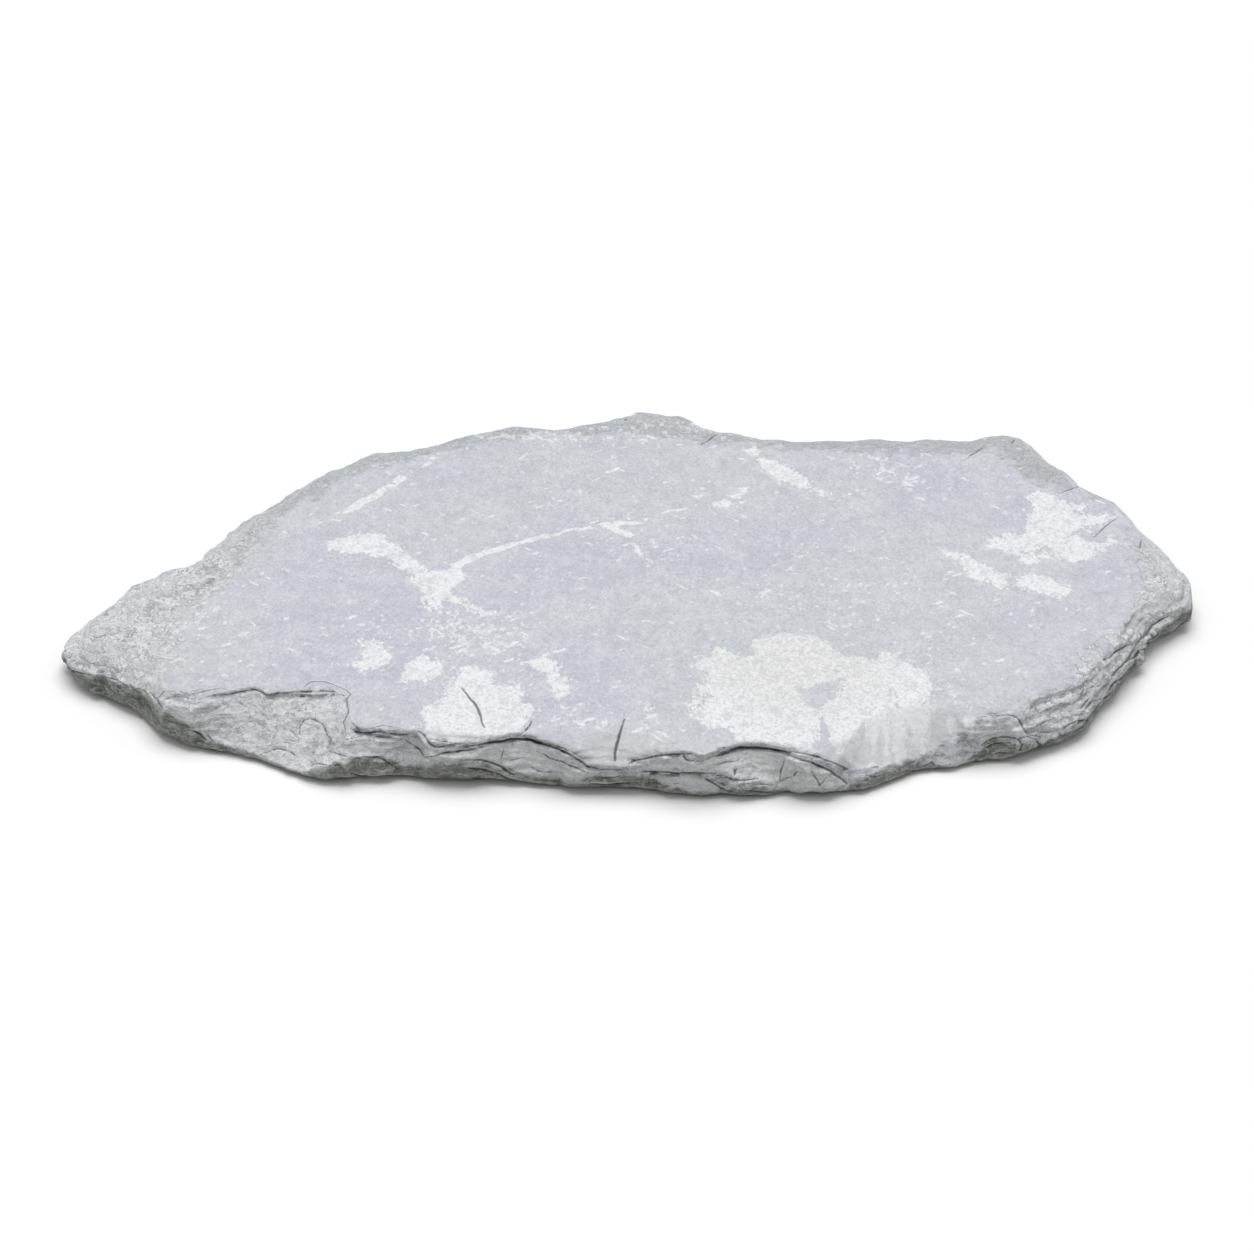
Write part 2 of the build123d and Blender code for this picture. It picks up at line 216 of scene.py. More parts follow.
# Outline, on the plan, of what still counts as the riven face, down to its rim along the front
RIVEN_SIDE = (
    -330, -60, -300, -100, -262, -118, -240, -140, -219, -147, -206, -143, -201, -139, -193, -138, -185, -144,
    -164, -141, -146, -146, -143, -172, -136, -180, -122, -176, -104, -188, -96, -191, -86, -191, -76, -188,
    -67, -184, -57, -181, -47, -186, -37, -192, -27, -204, -22, -212, -10, -214, 0, -210, 13, -205, 28, -202,
    35, -203, 42, -198, 57, -193, 72, -195, 82, -202, 91, -208, 101, -218, 110, -222, 131, -217, 139, -212, 146, -203,
    152, -196, 162, -184, 178, -164, 196, -160, 212, -140, 226, -112, 238, -84, 262, -60, 330, -40, 330, 300,
    -330, 300,
)
# Outline, on the plan, of the front edge that keeps its small triangles
KEPT_FINE = (
    -310, -90, -290, -88, -262, -104, -245, -136, -205, -134, -165, -128, -142, -136, -137, -170, -105, -180,
    -60, -184, -40, -192, -10, -207, 20, -200, 60, -196, 90, -204, 120, -206, 150, -192, 168, -170, 190, -160,
    215, -120, 235, -90, 255, -60, 285, -60, 310, -100, 300, -150, 240, -220, 120, -275, 0, -275, -140, -265,
    -260, -190, -315, -140,
)
# Height of the arris along the front, over x
ARRIS = (
    -304, 10, -285, 13, -262, 15.5, -248, 18, -240, 18, -228, 14.5, -217, 9, -205, 6, -186, 4, -164, 4, -157, 8,
    -150, 12, -126, 14, -116, 8, -108, 9, -100, 12, -76, 13, -66, 10, -51, 6, -30, 6, -21, 10, 3, 11, 13, 8, 30, 4,
    48, 6, 61, 7, 76, 2, 104, 4, 112, 8, 130, 9, 142, 8, 152, 4, 162, 1, 170, 5, 180, 12, 196, 12, 206, 6, 216, 8,
    228, 9, 250, 11, 270, 10, 304, 10,
)
# Broken faces below the riven face, each ruled between an upper and a lower line, a line being x, y, height, x, y,
# height and so on. Then: the sag of the middle, the height and depth of the slit under the plate above, and how fresh
# the face is
BREAKS = {
    "left tip": (
        (-304, -78, 24.5, -296, -76, 25.5, -290, -76, 26.4, -279, -80, 26.6, -268, -87, 26.6, -257, -92, 26.6,
         -250, -100, 26.6, -244, -114, 26.6, -239, -125, 26.6),
        (-304, -108, 10, -295, -113, 11, -290, -117, 12, -285, -120, 13, -279, -125, 13.5, -273, -124, 14.5,
         -269, -128, 15, -263, -132, 15.5, -257, -137, 16, -252, -139, 17, -248, -143, 18, -245, -149, 18,
         -240, -158, 18), 0.0, 0.0, 0.0, 0.0),
    "left shell": (
        (-169, -139, 25.9, -167, -134, 25.9, -164, -132, 25.9, -158, -132, 25.9, -153, -136, 25.9, -147, -140, 25.9,
         -144, -144, 25.9),
        (-169, -142, 25.3, -160, -143, 25.3, -150, -145, 25.3, -144, -150, 25.3), 0.0, 0.0, 0.0, 0.0),
    "left shelf": (
        (-240, -153, 22, -235, -152, 23, -230, -151, 24, -225, -152, 24.4, -219, -151, 24.6, -213, -149, 24.6,
         -206, -147, 24.6, -201, -143, 24.6, -193, -142, 24.4, -188, -146, 24.2, -185, -148, 24, -180, -148, 23.8,
         -170, -148, 23.6, -164, -147, 23.7, -160, -146, 24, -152, -147, 24.2, -146, -150, 24.4),
        (-240, -158, 18, -234, -166, 16.5, -228, -174, 14.5, -222, -182, 12, -217, -187, 9, -213, -193, 7,
         -205, -197, 6, -195, -203, 5, -186, -209, 4, -177, -215, 4, -169, -222, 4, -164, -225, 4, -159, -221, 7,
         -156, -216, 10.5, -150, -215, 12, -141, -210, 14), 0.4, 1.2, 3.0, 0.55),
    "second shell": (
        (-142, -174, 26, -140, -180, 26, -136, -183, 26, -131, -182, 26, -127, -179, 26, -125, -176, 26,
         -122, -179, 26, -117, -181, 26, -112, -182, 26, -108, -183, 26, -104, -189, 26),
        (-142, -184, 25, -137, -186, 25, -127, -189, 25, -117, -189, 25, -109, -187, 25, -104, -193, 25),
         0.0, 0.0, 0.0, 0.0),
    "second shelf": (
        (-142, -185, 23, -137, -187, 22.6, -127, -190, 22.4, -117, -190, 22.4, -109, -188, 22.6, -104, -194, 22.8),
        (-141, -210, 14, -126, -209, 14, -120, -212, 12, -116, -218, 8, -113, -220, 7, -108, -217, 9, -103, -213, 12),
         0.8, 1.3, 3.0, 0.6),
    "middle scar": (
        (-104, -200, 22, -96, -202, 22, -91, -202, 22, -86, -203, 21.8, -81, -202, 21.6, -76, -200, 21.6,
         -72, -198, 21.6, -67, -195, 21.8, -62, -193, 22, -57, -192, 22.4, -52, -193, 22.6, -47, -197, 22.2,
         -42, -200, 22, -37, -203, 22, -32, -209, 21.6, -27, -215, 21, -22, -222, 19),
        (-103, -213, 12, -96, -213, 12, -86, -213, 12, -76, -212, 13, -71, -215, 12, -66, -220, 9.5, -61, -225, 7.5,
         -56, -227, 6.5, -51, -229, 6, -46, -231, 5.5, -36, -231, 6, -29, -232, 6, -24, -228, 8, -21, -224, 10),
         1.6, 1.4, 3.5, 1.0),
    "crest scar": (
        (-3, -217, 23.4, 3, -214, 23, 8, -213, 23, 13, -211, 22.8, 18, -210, 22.8, 23, -209, 23, 28, -208, 23.2),
        (-3, -223, 11, 3, -223, 12, 13, -223, 14, 22, -223, 15.3, 28, -223, 16), 0.6, 1.4, 2.5, 0.8),
    "bow scar": (
        (28, -214, 23, 35, -212, 23, 42, -207, 22.4, 50, -203, 21.8, 57, -202, 21.5, 65, -202, 21.5, 72, -206, 21.6,
         77, -210, 21.8, 82, -213, 22, 87, -215, 22, 91, -219, 21, 96, -223, 20, 101, -229, 17, 104, -234, 14),
        (28, -223, 16, 37, -225, 16, 42, -227, 15, 49, -231, 12.5, 56, -232, 11, 61, -231, 11, 69, -237, 6,
         76, -244, 2, 83, -243, 2, 90, -241, 3, 98, -240, 3, 104, -237, 4), 2.0, 1.7, 4.0, 1.0),
    "low scar": (
        (3, -228, 9, 8, -227, 11, 17, -228, 13, 27, -228, 13.5, 32, -229, 13, 37, -232, 11, 42, -236, 8, 49, -241, 5),
        (3, -238, 1.5, 12, -243, 1, 22, -246, 1, 32, -249, 1, 39, -250, 1, 49, -248, 1.5), 1.4, 1.2, 3.0, 1.0),
    "right fall": (
        (100, -203, 26.8, 107, -188, 26.8, 115, -172, 26.8, 125, -161, 26.8, 137, -156, 26.8, 149, -155, 26.8,
         160, -158, 26.8, 170, -166, 26.8, 180, -176, 26.8),
        (98, -232, 9, 112, -229, 9, 120, -224, 9, 130, -218, 8, 139, -216, 6, 147, -220, 3, 154, -222, 2.5,
         160, -219, 2.5, 165, -213, 3.5, 170, -205, 6, 180, -200, 8), -1.2, 0.0, 0.0, 0.0),
    "right shelf": (
        (173, -171, 24.6, 178, -170, 24.4, 184, -170, 24.2, 189, -169, 24.2, 192, -171, 24.2, 194, -177, 24.2,
         196, -185, 24.2),
        (171, -199, 10, 177, -193, 12, 182, -190, 14, 187, -189, 14, 192, -191, 13, 196, -190, 13),
         0.4, 1.0, 2.0, 0.6),
}


def on_plan(points):
    """Where points of the stone are seen on the plan."""
    t = (EYE[2] - TOP) / (EYE[2] - points[:, 2:])
    return EYE[:2] + (points[:, :2] - EYE[:2]) * t


def from_plan(line):
    """The true places of points drawn on the plan, each with its height."""
    line = np.array(line, np.float64).reshape(-1, 3)
    t = (EYE[2] - line[:, 2:]) / (EYE[2] - TOP)
    return np.concatenate([EYE[:2] + (line[:, :2] - EYE[:2]) * t, line[:, 2:]], axis=1)


def distance_to_lines(p, line, closed, reach=30.0):
    """Distance of plan points to a run of straight pieces, and how far along the run the nearest place is."""
    corners = np.array(line, np.float32).reshape(-1, 2)
    best = np.full(len(p), FAR, np.float32)
    along = np.zeros(len(p), np.float32)
    low, high = corners.min(axis=0) - reach, corners.max(axis=0) + reach
    near = np.flatnonzero(np.all((p > low) & (p < high), axis=1))
    p = p[near]
    ends = np.roll(corners, -1, axis=0) if closed else corners[1:]
    starts = corners if closed else corners[:-1]
    lengths = np.linalg.norm(ends - starts, axis=1)
    gone = np.concatenate([[0], np.cumsum(lengths)[:-1]])
    nearest = np.full(len(p), FAR, np.float32)
    share = np.zeros(len(p), np.float32)
    for a, b, length, before in zip(starts, ends, lengths, gone):
        d = (b - a) / length
        t = np.clip((p - a) @ d, 0, length)
        far = np.hypot(p[:, 0] - a[0] - t * d[0], p[:, 1] - a[1] - t * d[1])
        nearer = far < nearest
        nearest[nearer] = far[nearer]
        share[nearer] = (before + t[nearer]) / lengths.sum()
    best[near] = nearest
    along[near] = share
    return best, along


def thinning(along):
    """How a stroke thins toward its ends."""
    return 0.35 + 0.65 * np.sin(np.pi * np.clip(0.1 + 0.8 * along, 0, 1))


def wandering(points):
    """The points moved a little to and fro."""
    return points + np.stack([0.5 * noise(points, 5, 1), 0.5 * noise(points, 4, 2), 0 * points[:, 0]], axis=1)


def inside(p, corners):
    """Which plan points lie inside a closed outline."""
    corners = np.array(corners).reshape(-1, 2).tolist()
    found = np.zeros(len(p), bool)
    x, y = p[:, 0], p[:, 1]
    for (ax, ay), (bx, by) in zip(corners, corners[1:] + corners[:1]):
        crosses = (ay > y) != (by > y)
        if ay != by:
            found ^= crosses & (x < (bx - ax) * (y - ay) / (by - ay) + ax)
    return found


def signed_distance(p, corners, reach=30.0):
    """Distance of plan points to an outline, negative inside it."""
    far, _ = distance_to_lines(p, corners, True, reach)
    return np.where(inside(p, corners), -far, far)


def smooth_step(low, high, value):
    t = np.clip((value - low) / (high - low), 0, 1)
    return t * t * (3 - 2 * t)


# ---- Noise from fixed tables ----
SIDE = 64
TABLES = np.random.default_rng(7).uniform(-1, 1, (4, SIDE, SIDE, SIDE)).astype(np.float32)


def noise(points, cell, table=0, turn=0.6):
    """Smooth noise from -1 to 1 at points in mm, with cells of that size, on a grid turned about Z."""
    c, s = math.cos(turn), math.sin(turn)
    cell = np.broadcast_to(np.array(cell, np.float32), (3,))
    x = (points[:, 0] * c - points[:, 1] * s) / cell[0]
    y = (points[:, 0] * s + points[:, 1] * c) / cell[1]
    z = points[:, 2] / cell[2]
    low = [np.floor(v).astype(np.int32) for v in (x, y, z)]
    t = [(v - f).astype(np.float32) for v, f in zip((x, y, z), low)]
    t = [v * v * v * (v * (v * 6 - 15) + 10) for v in t]
    i0, j0, k0 = [f % SIDE for f in low]
    i1, j1, k1 = [(f + 1) % SIDE for f in (i0, j0, k0)]
    grid = TABLES[table]
    a = grid[i0, j0, k0] * (1 - t[2]) + grid[i0, j0, k1] * t[2]
    b = grid[i0, j1, k0] * (1 - t[2]) + grid[i0, j1, k1] * t[2]
    c0 = grid[i1, j0, k0] * (1 - t[2]) + grid[i1, j0, k1] * t[2]
    d = grid[i1, j1, k0] * (1 - t[2]) + grid[i1, j1, k1] * t[2]
    low_x = a * (1 - t[1]) + b * t[1]
    high_x = c0 * (1 - t[1]) + d * t[1]
    return low_x * (1 - t[0]) + high_x * t[0]


def terraced(value, levels, sharpness):
    """The value with its slopes gathered into steps."""
    scaled = value * levels
    step = np.floor(scaled)
    rise = np.clip((scaled - step - 0.5) * sharpness + 0.5, 0, 1)
    return (step + rise) / levels


# ---- The stone's surface ----
def field_of(node):
    """Signed distance in mm to the CAD node, on a grid, and the grid's lowest corner in cells."""
    mesh = node.data
    verts = np.empty(len(mesh.vertices) * 3, np.float32)
    mesh.vertices.foreach_get("co", verts)
    mesh.calc_loop_triangles()
    faces = np.empty(len(mesh.loop_triangles) * 3, np.int32)
    mesh.loop_triangles.foreach_get("vertices", faces)
    grid = openvdb.FloatGrid.createLevelSetFromPolygons(
        verts.reshape(-1, 3) / MM, triangles=faces.reshape(-1, 3).astype(np.uint32),
        transform=openvdb.createLinearTransform(VOXEL), halfWidth=8)
    low, high = grid.evalActiveVoxelBoundingBox()
    corner = [v - 1 for v in low]
    field = np.empty([b - a + 2 for a, b in zip(corner, high)], np.float32)
    grid.copyToArray(field, ijk=tuple(corner))
    return field, np.array(corner)


def blurred(field, reach):
    """The field averaged over a box."""
    out = field
    for axis in range(3):
        pad = [(reach, reach) if a == axis else (0, 0) for a in range(3)]
        sums = np.cumsum(np.pad(out, pad, mode="edge"), axis=axis, dtype=np.float64)
        size = out.shape[axis]
        high = np.take(sums, range(2 * reach, 2 * reach + size), axis=axis)
        low = np.take(sums, range(0, size - 1), axis=axis)
        low = np.concatenate([np.zeros_like(np.take(high, [0], axis=axis)), low], axis=axis)
        out = ((high - low) / (2 * reach + 1)).astype(np.float32)
    return out


def scoops(points, cell, seed, turn=0.5):
    """Shell-like hollows that meet in sharp ridges: about 0 at the middle of a hollow, up to 1 at a ridge."""
    c, s = math.cos(turn), math.sin(turn)
    q = np.stack([(points[:, 0] * c - points[:, 1] * s) / cell[0], (points[:, 0] * s + points[:, 1] * c) / cell[1],
                  points[:, 2] / cell[2]], axis=1).astype(np.float32)
    whole = np.floor(q).astype(np.int32)
    part = q - whole
    jitter = (TABLES[(seed + np.arange(4)) % 4] * 0.5 + 0.5)
    best = np.full(len(q), 9.0, np.float32)
    for i in (-1, 0, 1):
        for j in (-1, 0, 1):
            for k in (-1, 0, 1):
                at = (whole + np.array([i, j, k]) + 7 * seed) % SIDE
                near = jitter[:, at[:, 0], at[:, 1], at[:, 2]]
                d = (part[:, 0] - i - near[0]) ** 2 + (part[:, 1] - j - near[1]) ** 2
                d += (part[:, 2] - k - near[2]) ** 2 + 0.35 * near[3]
                np.minimum(best, d, out=best)
    return np.clip((best - 0.1) / 0.8, 0, 1.2)


def columns(line, x):
    """A line's y and height at each x."""
    order = np.argsort(line[:, 0])
    line = line[order]
    return np.interp(x, line[:, 0], line[:, 1]), np.interp(x, line[:, 0], line[:, 2])


def broken_face(upper, lower, sag, x, y):
    """A broken face's height over each x and y, the upper line's y and height, and the way in from its ends."""
    upper = from_plan(upper)
    lower = from_plan(lower)
    flat = np.stack([x.ravel(), np.zeros(x.size), np.zeros(x.size)], axis=1).astype(np.float32)
    wander = (0.8 * noise(flat, 5, 0) + 0.5 * noise(flat, 2.2, 1)).reshape(x.shape)
    upper_y, upper_z = columns(upper, x)
    lower_y, lower_z = columns(lower, x)
    upper_y = upper_y + wander
    lower_y = np.minimum(lower_y + 0.8 * wander[::-1], upper_y - 1.0)
    share = (y - lower_y) / (upper_y - lower_y)
    level = lower_z + (upper_z - lower_z) * share - sag * 4 * share * (1 - share)
    steep = np.where(lower_z < CORNER_HEIGHT, CORNER_FALL, 0.0)
    level = np.where(share < 0, lower_z - (lower_y - y) * steep, level)
    low = max(upper[:, 0].min(), lower[:, 0].min())
    high = min(upper[:, 0].max(), lower[:, 0].max())
    inner = np.minimum(x - low, high - x) + END_REACH + 2.0 * wander
    return level, upper_y, upper_z, inner


def break_plates(field, corner):
    """Cuts the broken faces and the slits under the plates into the field."""
    shape = field.shape
    xs = (np.arange(shape[0]) + corner[0]) * VOXEL
    ys = (np.arange(shape[1]) + corner[1]) * VOXEL
    zs = (np.arange(shape[2]) + corner[2]) * VOXEL
    for upper, lower, sag, slit_height, slit_depth, _ in BREAKS.values():
        ends = from_plan(upper + lower)
        reach = END_REACH + SIDE_MARGIN
        i = slice(*np.searchsorted(xs, [ends[:, 0].min() - reach, ends[:, 0].max() + reach]))
        j = slice(*np.searchsorted(ys, [ends[:, 1].min() - DEPTH_MARGIN, ends[:, 1].max() + DEPTH_MARGIN]))
        x, y = np.meshgrid(xs[i], ys[j], indexing="ij")
        level, upper_y, upper_z, inner = broken_face(upper, lower, sag, x, y)
        slope = np.gradient(level, VOXEL, axis=1)
        lean = 1 / np.sqrt(1 + slope**2)
        cut = -(zs[None, None, :] - level[:, :, None]) * lean[:, :, None]
        riser = (y - upper_y)[:, :, None]
        cut = np.maximum(cut, riser)
        if slit_height:
            ends_soft = smooth_step(END_REACH, END_REACH + SLIT_RUN, inner)
            flat = np.stack([x.ravel(), y.ravel(), np.zeros(x.size)], axis=1).astype(np.float32)
            uneven = (0.7 + 0.45 * noise(flat, 9, 2)).reshape(x.shape) * ends_soft
            deep = slit_depth * uneven
            tall = slit_height * uneven
            roof = upper_z + tall * (1 - np.clip((y - upper_y) / np.maximum(deep, 0.3), 0, 1))
            slit = np.maximum(zs[None, None, :] - roof[:, :, None], (upper_z - 0.4)[:, :, None] - zs[None, None, :])
            slit = np.maximum(slit, (np.abs(y - upper_y) - deep)[:, :, None])
            slit = np.where((ends_soft > 0.05)[:, :, None], slit, 9.0)
            cut = np.minimum(cut, slit)
        block = field[i, j]
        share = smooth_step(0, END_RUN, inner)[:, :, None]
        field[i, j] = block + share * (np.maximum(block, -cut) - block)


def ledges(points, thickness, table):
    """How far each bed's edge stands back: nothing at the top of a bed, 1 at its foot."""
    drift = 2.2 * noise(points, (30, 30, 12), table, 0.9) + 0.7 * noise(points, (8, 8, 5), table + 1, 0.3)
    share = np.mod((points[:, 2] + drift) / thickness, 1.0)
    strength = smooth_step(-0.5, 0.4, noise(points, (22, 22, 9), table + 2, 1.4))
    return strength * smooth_step(0.0, 0.2, share) * (1 - share)


def relief(points, wall):
    """How much is worn off the surface at each point, in mm."""
    plan = on_plan(points)
    rough = smooth_step(-7, 9, signed_distance(plan, SMOOTH_FACE, 400.0))
    flat = np.concatenate([points[:, :2], np.zeros((len(points), 1), np.float32)], axis=1)
    # Riven face: thin steps of cleavage
    broad = noise(flat, 34, 0) + 0.5 * noise(flat, 15, 1, 1.1) + 0.25 * noise(flat, 6, 2, 0.2)
    worn = 0.12 * (terraced(broad, 3.0, 5.0) + 1) + 0.05 * noise(flat, 4, 2, 0.9)
    # Rough band: shallow flakes
    band = np.flatnonzero((rough > 0.01) & (wall < 0.99))
    p = points[band]
    flakes = 0.9 * (1 - scoops(p, (15, 12, 8), 1)) + 0.7 * (1 - scoops(p, (7, 5.5, 5), 2, 1.3))
    flakes += 0.7 * (terraced(broad[band] + 0.4 * noise(p, 5, 3), 2.6, 6.0) + 0.6) + 0.2 * noise(p, 2.4, 3, 0.3)
    flakes *= 0.4 + 0.6 * smooth_step(60, -20, p[:, 1])
    worn[band] = worn[band] * (1 - rough[band]) + flakes * rough[band]
    # Broken edge: ledges of the beds, and shell-like hollows drawn out along them
    riven = smooth_step(1.2, -1.2, signed_distance(plan, RIVEN_SIDE, 400.0)) * smooth_step(60, 90, points[:, 0])
    wall = wall * (1 - 0.85 * riven)
    edge = np.flatnonzero(wall > 0.01)
    p = points[edge]
    chips = 1.3 * (1 - scoops(p, (17, 15, 7), 3)) + 0.8 * (1 - scoops(p, (7, 6, 3.5), 0, 1.1))
    chips += 1.0 * ledges(p, 3.4, 0) + 0.5 * ledges(p, 2.1, 1)
    chips += 0.3 * noise(p, (2.6, 2.6, 1.5), 3, 1.3)
    worn[edge] = worn[edge] * (1 - wall[edge]) + (chips + WORN_LEAST) * wall[edge]
    return np.clip(worn, WORN_LEAST, WORN_MOST)


def grooves(points):
    """How deep the cracks and seams cut at each point, in mm."""
    plan = on_plan(wandering(points))
    cut = np.zeros(len(points), np.float32)
    for line, width in CRACKS:
        far, along = distance_to_lines(plan, line, False, 3.0)
        cut = np.maximum(cut, CRACK_DEPTH * thinning(along) * (1 - smooth_step(0.2, 0.4 + width, far)))
    for line, width in SEAM_LINES:
        far, along = distance_to_lines(plan, line, False, 3.0)
        cut = np.maximum(cut, (0.5 + 0.9 * width) * thinning(along) * (1 - smooth_step(0.1, 0.6 + width, far)))
    for line, half in WEDGES:
        far, along = distance_to_lines(plan, line, False, 9.0)
        within = 1 - smooth_step(-0.6, 0.6, far - half * along**WEDGE_CURVE)
        cut = np.maximum(cut, WEDGE_DEPTH * smooth_step(0, 0.3, along) * within)
    return cut


def stone_mesh(node):
    """The stone as one closed mesh, with the field that shows its hollows."""
    field, corner = field_of(node)
    field = np.maximum(blurred(field, 1), blurred(field, 2) - FIN_BEFORE)
    break_plates(field, corner)
    heights = ((np.arange(field.shape[2]) + corner[2]) * VOXEL).astype(np.float32)
    near = np.argwhere(np.abs(field) < np.where(heights < UNDERCUT_HEIGHT, FOOT_BAND, BAND))
    points = ((near + corner) * VOXEL).astype(np.float32)
    tilt = np.abs(np.gradient(blurred(field, 1), VOXEL, axis=2))[near[:, 0], near[:, 1], near[:, 2]]
    wall = 1 - smooth_step(0.6, 0.95, tilt)
    worn = relief(points, wall) + grooves(points)
    worn += UNDERCUT * wall * smooth_step(UNDERCUT_HEIGHT, 0.4, points[:, 2])
    field[near[:, 0], near[:, 1], near[:, 2]] += worn
    field = np.maximum(field, blurred(field, 2) - FIN_AFTER)
    field = np.maximum(field, -heights)
    hollow = field - blurred(field, 2)

    grid = openvdb.FloatGrid(4.0)
    grid.copyFromArray(field, ijk=tuple(int(v) for v in corner), tolerance=0.0)
    grid.transform = openvdb.createLinearTransform(VOXEL)
    grid.gridClass = openvdb.GridClass.LEVEL_SET
    verts, _, quads = grid.convertToPolygons(isovalue=0.0, adaptivity=0.0)
    mesh = bpy.data.meshes.new("flagstone_surface")
    mesh.from_pydata((verts * MM).tolist(), [], quads[:, ::-1].tolist())
    mesh.update()
    plan = on_plan(verts.astype(np.float32))
    loose = np.flatnonzero(signed_distance(plan, KEPT_FINE, 4.0) * (verts[:, 2] > 1.0) >= 0)
    return mesh, loose, hollow, corner


def thinned(mesh, loose):
    """The mesh with fewer triangles where it is flat, and all of them along the front edge."""
    temporary = bpy.data.objects.new("temporary", mesh)
    temporary.vertex_groups.new(name="loose").add(loose.tolist(), 1.0, "REPLACE")
    bpy.context.scene.collection.objects.link(temporary)
    fewer = temporary.modifiers.new("fewer", "DECIMATE")
    fewer.ratio = TRIANGLES / (2 * len(mesh.polygons))
    fewer.use_collapse_triangulate = True
    fewer.vertex_group = "loose"
    graph = bpy.context.evaluated_depsgraph_get()
    result = bpy.data.meshes.new_from_object(temporary.evaluated_get(graph))
    bpy.data.objects.remove(temporary)
    bpy.data.meshes.remove(mesh)
    return result


def sampled(field, corner, points):
    """The field's value at points in mm."""
    q = points / VOXEL - corner
    low = np.clip(np.floor(q).astype(int), 0, np.array(field.shape) - 2)
    t = (q - low).astype(np.float32)
    value = np.zeros(len(points), np.float32)
    for i in (0, 1):
        for j in (0, 1):
            for k in (0, 1):
                weight = np.prod(np.where([i, j, k], t, 1 - t), axis=1)
                value += weight * field[low[:, 0] + i, low[:, 1] + j, low[:, 2] + k]
    return value


def low_edge(points):
    """1 on the dark foot of the edge, under the arris that the broken faces end at, and 0 above it."""
    line = np.array(ARRIS, np.float64).reshape(-1, 2)
    level = np.interp(points[:, 0], line[:, 0], line[:, 1])
    front = smooth_step(-20, -60, points[:, 1])
    level = level * front + 13.0 * (1 - front)
    level = level + 1.2 * noise(points, (6, 6, 30), 1, 0.2)
    return smooth_step(1.0, -1.2, points[:, 2] - level)


def marks(points):
    """The marks at points in mm, each as a figure for the material."""
    bent = points.copy()
    bent[:, 0] += 1.2 * noise(points, 7, 0, 0.3) + 0.5 * noise(points, 2.6, 1, 0.7)
    bent[:, 1] += 1.6 * noise(points, 7, 2, 0.9) + 0.6 * noise(points, 2.6, 3, 1.3)
    plan = on_plan(bent)
    pale = np.full(len(points), FAR, np.float32)
    for area in PALE_AREAS:
        pale = np.minimum(pale, signed_distance(plan, area))
    for hole in HOLES:
        pale = np.maximum(pale, -signed_distance(plan, hole))
    vein = np.full_like(pale, FAR)
    for line, start, end in VEINS:
        far, along = distance_to_lines(plan, line, False)
        vein = np.minimum(vein, far - (start + (end - start) * along))
    wedge = np.full_like(pale, FAR)
    for line, half in WEDGES:
        far, along = distance_to_lines(plan, line, False)
        wedge = np.minimum(wedge, far - half * along**WEDGE_CURVE)
    crack = np.full_like(pale, FAR)
    seam_shadow = np.full_like(pale, FAR)
    lip_highlight = np.full_like(pale, FAR)
    fresh = np.zeros(len(points), np.float32)
    straight = on_plan(wandering(points))
    for line, width in CRACKS:
        far, along = distance_to_lines(straight, line, False)
        crack = np.minimum(crack, far - width * thinning(along))
    # Painted shadow in each seam, and a painted highlight just behind it
    for line, width in SEAM_LINES:
        far, along = distance_to_lines(straight, line, False, 6.0)
        seam_shadow = np.minimum(seam_shadow, far - width * thinning(along))
        # Painted highlight along the far side of the seam
        far, along = distance_to_lines(straight - np.array([0, width + 0.9]), line, False, 6.0)
        lip_highlight = np.minimum(lip_highlight, far - (0.3 + 0.3 * width) * thinning(along))
    for upper, lower, _, _, _, freshness in BREAKS.values():
        if freshness:
            there, back = (np.array(line).reshape(-1, 3)[:, :2] for line in (upper, lower))
            around = np.concatenate([there, back[::-1]])
            fresh = np.maximum(fresh, freshness * smooth_step(1.5, -1.5, signed_distance(plan, around)))
    flecks = np.zeros(len(points), np.float32)
    for x, y, half_x, half_y, strength in FLECKS:
        away = ((plan[:, 0] - x) / half_x) ** 2 + ((plan[:, 1] - y) / half_y) ** 2
        flecks = np.maximum(flecks, strength * np.exp(-away))
    rough = smooth_step(-10, 10, signed_distance(plan, SMOOTH_FACE, 400.0) - 5 * smooth_step(0, 60, plan[:, 1])
                        - 9 * smooth_step(-110, -160, plan[:, 1]) * smooth_step(-160, -130, plan[:, 0]))
    riven = smooth_step(1.2, -1.2, signed_distance(plan, RIVEN_SIDE, 400.0))
    return {
        "riven": riven, "pale": pale, "vein": vein, "wedge": wedge, "crack": crack, "seam_shadow": seam_shadow, "lip_highlight": lip_highlight,
        "fresh": fresh, "flecks": flecks, "rough": rough, "low": low_edge(points),
    }


def build_stone():
    mesh, loose, hollow, corner = stone_mesh(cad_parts["flagstone"])
    mesh = thinned(mesh, loose)
    mesh.name = "flagstone_surface"
    verts = np.empty(len(mesh.vertices) * 3, np.float32)
    mesh.vertices.foreach_get("co", verts)
    points = verts.reshape(-1, 3) / MM
    fields = marks(points)
    fields["hollow"] = sampled(hollow, corner, points)
    for name, values in fields.items():
        layer = mesh.attributes.new(name, "FLOAT", "POINT")
        layer.data.foreach_set("value", values.astype(np.float32))
    mesh.polygons.foreach_set("use_smooth", np.ones(len(mesh.polygons), bool))
    stone = bpy.data.objects.new("flagstone_surface", mesh)
    bpy.context.scene.collection.objects.link(stone)
    return stone


# ---- Materials ----
def linear(r, g, b):
    """A colour as read from a screen, 0 to 255, for a shader."""
    out = []
    for v in (r, g, b):
        v /= 255
        out.append(v / 12.92 if v <= 0.04045 else ((v + 0.055) / 1.055) ** 2.4)
    return (*out, 1.0)


